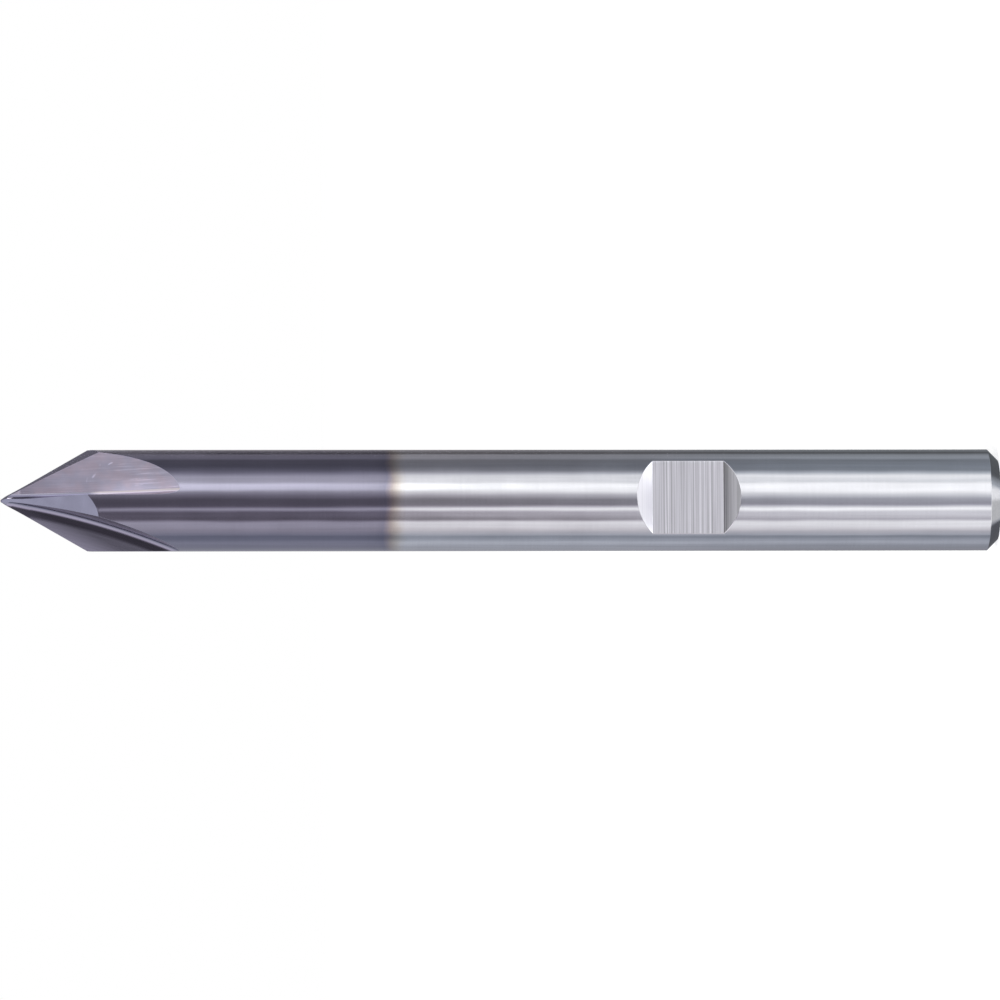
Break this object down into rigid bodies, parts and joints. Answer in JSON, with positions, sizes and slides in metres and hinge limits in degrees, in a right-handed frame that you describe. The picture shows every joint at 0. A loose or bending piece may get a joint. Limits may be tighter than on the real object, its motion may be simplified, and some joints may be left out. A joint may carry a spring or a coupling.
{
  "type": "chamfer milling cutter",
  "caption": "Slim solid milling cutter with a pointed, straight-fluted chamfering head on a plain round shank that has a clamping flat for a side-lock holder.",
  "frame": {"origin": "centre of the plain end face of the shank, on which the tool stands", "axes": "+Z along the tool's axis from the shank to the cutting point; the clamping flat on the shank faces -Y"},
  "size_m": [0.006, 0.006, 0.059],
  "materials": {
    "ground_metal": "fine ground cutting-tool metal, bare on the shank and with a thin dark violet-grey hard coating over the cutting end"
  },
  "bodies": {
    "root": {"chamfer_cutter": "ground_metal"}
  },
  "joints": []
}
